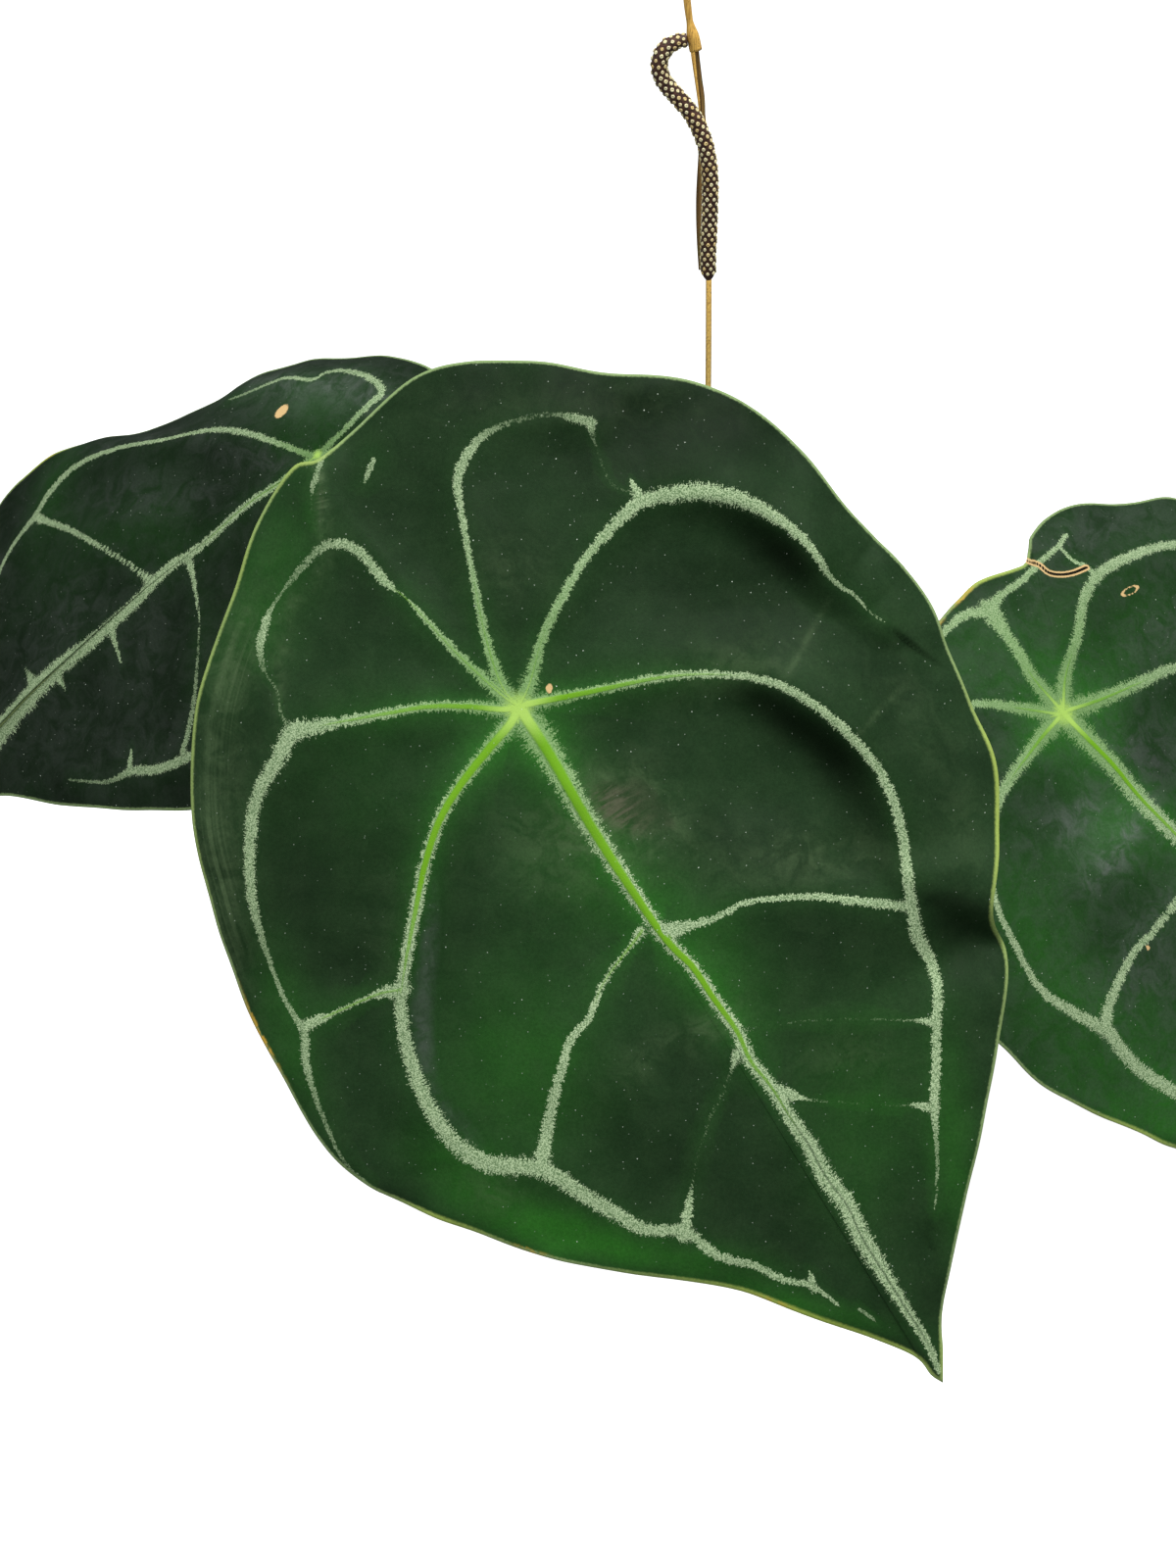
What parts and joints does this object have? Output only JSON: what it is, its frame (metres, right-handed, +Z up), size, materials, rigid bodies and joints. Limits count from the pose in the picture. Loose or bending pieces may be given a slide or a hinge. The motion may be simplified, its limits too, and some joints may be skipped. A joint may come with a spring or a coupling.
{
  "type": "potted anthurium forgetii",
  "caption": "Potted aroid with dark peltate heart-shaped leaves veined in silver, slim arching stalks and a hanging hooked flower spike, in a plain tapered clay pot.",
  "frame": {"origin": "centre of the pot's flat foot, on the surface it stands on", "axes": "+Z up along the pot's axis, -Y to the front, where the largest leaf hangs, +X to the right seen from the front"},
  "size_m": [0.4962, 0.3538, 0.3991],
  "materials": {
    "clay": "unglazed matte clay",
    "potting_mix": "rough, damp bark and peat",
    "stem": "matte green stem with brown ring scars",
    "leaf": "velvet dark green with feathered silver veins",
    "leaf_stalk": "satin green, paler at the neck",
    "flower_stalk": "satin golden brown",
    "spathe": "satin golden brown",
    "spadix": "dark purple brown with pale yellow flowers",
    "sheath": "dry papery fibre",
    "root": "matte pale velamen",
    "bark": "rough split bark"
  },
  "bodies": {
    "root": {"pot": "clay", "potting_mix": "potting_mix", "stem": "stem", "blade_main": "leaf", "blade_left": "leaf", "blade_right": "leaf", "petiole_main": "leaf_stalk", "petiole_left": "leaf_stalk", "petiole_right": "leaf_stalk", "peduncle": "flower_stalk", "spathe": "spathe", "spadix": "spadix", "cataphyll_1": "sheath", "cataphyll_2": "sheath", "cataphyll_3": "sheath", "aerial_root_1": "root", "aerial_root_2": "root", "aerial_root_3": "root", "bark_chip_1": "bark", "bark_chip_2": "bark", "bark_chip_3": "bark", "bark_chip_4": "bark", "bark_chip_5": "bark", "bark_chip_6": "bark", "bark_chip_7": "bark", "bark_chip_8": "bark"}
  },
  "joints": []
}
